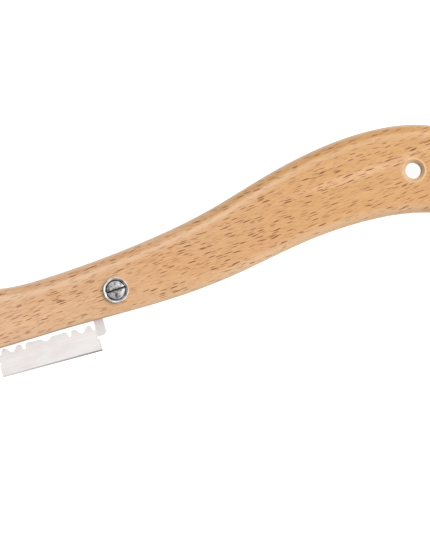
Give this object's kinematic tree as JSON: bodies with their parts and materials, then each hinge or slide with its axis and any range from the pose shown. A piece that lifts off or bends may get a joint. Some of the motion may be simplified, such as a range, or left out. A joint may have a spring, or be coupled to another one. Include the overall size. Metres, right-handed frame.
{
  "type": "bread lame",
  "caption": "Dough-scoring knife: S-curved wooden handle with a hang hole and a double-edge razor blade held in a kerf by a slotted clamp screw.",
  "frame": {"origin": "centre of the footprint on the rear face, which lies on the table", "axes": "+X from the head with the blade to the butt with the hang hole, +Z out of the front face that carries the screw head, cutting edge towards -Y"},
  "size_m": [0.1904, 0.041, 0.0155],
  "materials": {
    "beech": "satin, lightly oiled, short dark flecks along the grain",
    "blade_steel": "satin rolled strip with ground bevels",
    "screw_steel": "worn nickel plate",
    "washer_plate": "bright nickel plate, lightly scratched",
    "nut_steel": "nickel plate"
  },
  "bodies": {
    "handle": {"handle": "beech", "barrel_nut": "nut_steel"},
    "blade": {"razor_blade": "blade_steel"},
    "washer": {"cup_washer": "washer_plate"},
    "screw": {"clamp_screw": "screw_steel"}
  },
  "joints": [
    {"name": "blade_slide", "type": "slide", "parent": "handle", "child": "blade", "axis": [-0.1317, -0.9913, 0], "range_m": [0, 0.014]},
    {"name": "screw_lift", "type": "slide", "parent": "handle", "child": "washer", "axis": [0, 0, 1], "range_m": [0, 0.0021]},
    {"name": "screw_turn", "type": "hinge", "parent": "washer", "child": "screw", "pos_m": [-0.0393, -0.00009, 0.0145], "axis": [0, 0, 1], "range_deg": [0, 1081]}
  ],
  "couplings": [
    {"joint": "screw_turn", "follows": "screw_lift", "rad_per_m": 8976}
  ]
}
